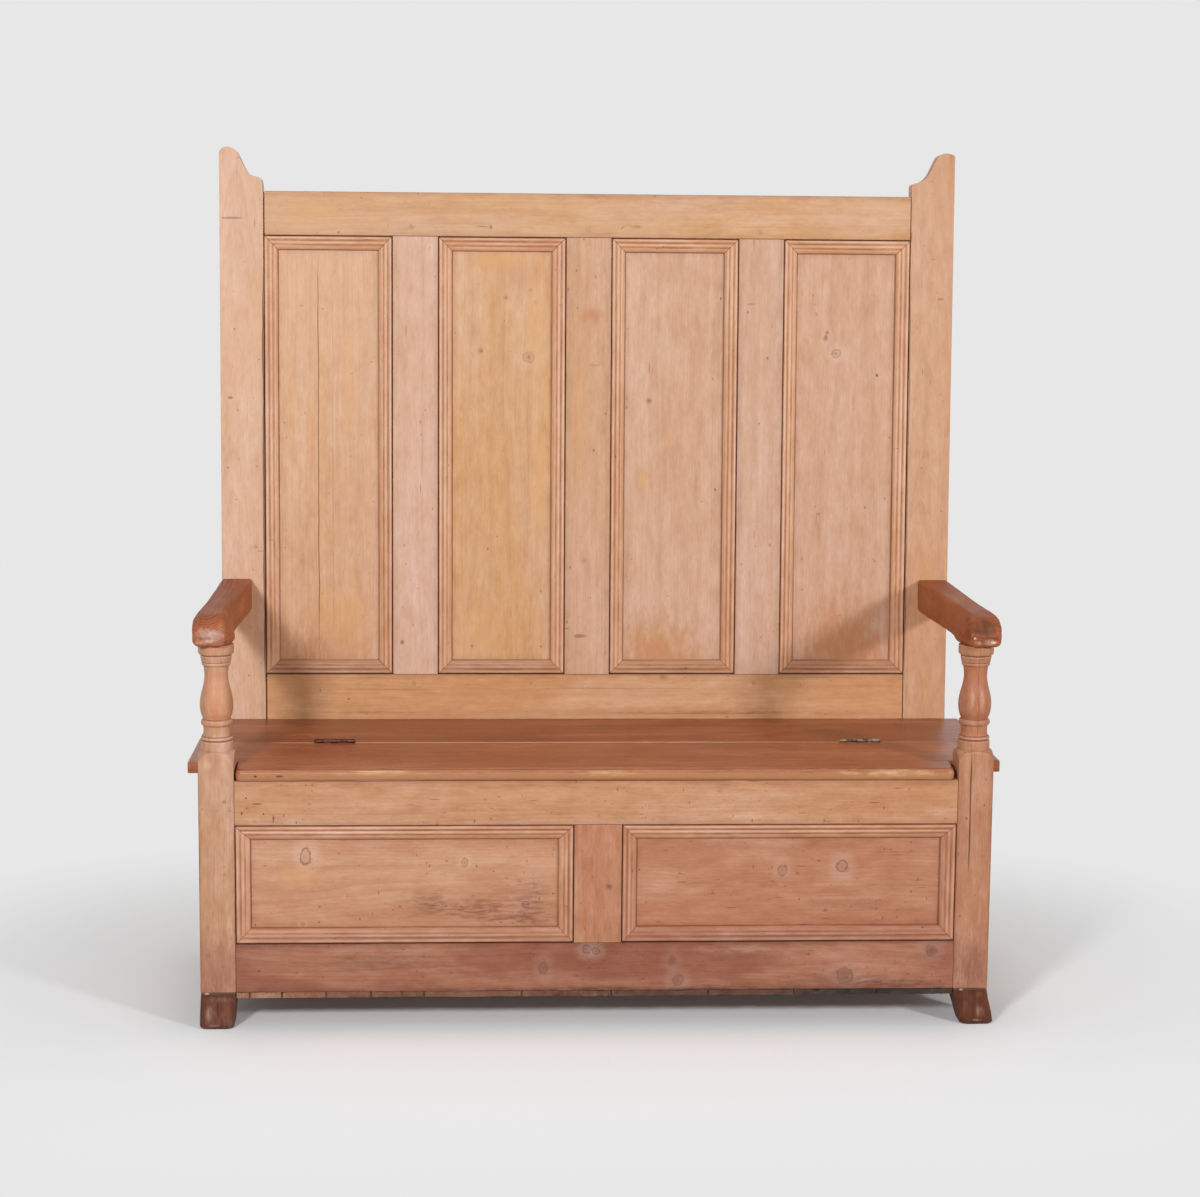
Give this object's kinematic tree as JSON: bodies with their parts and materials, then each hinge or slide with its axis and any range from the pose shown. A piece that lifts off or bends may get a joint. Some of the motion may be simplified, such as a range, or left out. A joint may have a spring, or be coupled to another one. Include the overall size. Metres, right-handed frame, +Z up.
{
  "type": "settle bench",
  "caption": "High-backed pine settle bench with panelled back, arms on turned posts and a box seat under a hinged lid",
  "frame": {"origin": "On the floor, at the bottom centre of the bench's bounding box", "axes": "+Z up, -Y to the front where a person sits down, +X to the right seen from the front"},
  "size_m": [1.532, 0.6162, 1.6469],
  "materials": {
    "pale_pine": "waxed, worn smooth",
    "panel_pine": "waxed, knotty",
    "moulding_pine": "waxed, dark in the quirks",
    "seat_pine": "worn and polished dark",
    "arm_wood": "polished dark by hands",
    "foot_wood": "dark and scuffed",
    "inner_pine": "unfinished, rough",
    "hinge_iron": "dark, lightly rusted",
    "hinge_brass": "dull and tarnished"
  },
  "bodies": {
    "root": {"back_stile_left": "pale_pine", "back_stile_right": "pale_pine", "back_top_rail": "pale_pine", "back_seat_rail": "pale_pine", "back_muntin_1": "pale_pine", "back_muntin_2": "pale_pine", "back_muntin_3": "pale_pine", "front_leg_left": "pale_pine", "front_leg_right": "pale_pine", "front_top_rail": "pale_pine", "front_muntin": "pale_pine", "end_board_left": "pale_pine", "end_board_right": "pale_pine", "back_panel_1": "panel_pine", "back_panel_2": "panel_pine", "back_panel_3": "panel_pine", "back_panel_4": "panel_pine", "front_panel_left": "panel_pine", "front_panel_right": "panel_pine", "back_moulding_1_top": "moulding_pine", "back_moulding_1_bottom": "moulding_pine", "back_moulding_1_left": "moulding_pine", "back_moulding_1_right": "moulding_pine", "back_moulding_2_top": "moulding_pine", "back_moulding_2_bottom": "moulding_pine", "back_moulding_2_left": "moulding_pine", "back_moulding_2_right": "moulding_pine", "back_moulding_3_top": "moulding_pine", "back_moulding_3_bottom": "moulding_pine", "back_moulding_3_left": "moulding_pine", "back_moulding_3_right": "moulding_pine", "back_moulding_4_top": "moulding_pine", "back_moulding_4_bottom": "moulding_pine", "back_moulding_4_left": "moulding_pine", "back_moulding_4_right": "moulding_pine", "front_moulding_left_top": "moulding_pine", "front_moulding_left_bottom": "moulding_pine", "front_moulding_left_left": "moulding_pine", "front_moulding_left_right": "moulding_pine", "front_moulding_right_top": "moulding_pine", "front_moulding_right_bottom": "moulding_pine", "front_moulding_right_left": "moulding_pine", "front_moulding_right_right": "moulding_pine", "front_bottom_rail": "moulding_pine", "seat_rear_board": "seat_pine", "arm_left": "arm_wood", "arm_right": "arm_wood", "foot_left": "foot_wood", "foot_right": "foot_wood", "chest_back_board": "inner_pine", "chest_floor_left": "inner_pine", "chest_floor_middle": "inner_pine", "chest_floor_right": "inner_pine", "hinge_seat_leaf_left": "hinge_iron", "hinge_pin_left": "hinge_iron", "hinge_seat_leaf_right": "hinge_brass", "hinge_pin_right": "hinge_brass"},
    "lid": {"lid": "seat_pine", "hinge_lid_leaf_left": "hinge_iron", "hinge_lid_leaf_right": "hinge_brass"}
  },
  "joints": [
    {"name": "lid_hinge", "type": "hinge", "parent": "root", "child": "lid", "pos_m": [0, -0.03411, 0.4988], "axis": [-1, 0, 0], "range_deg": [0, 165]}
  ]
}
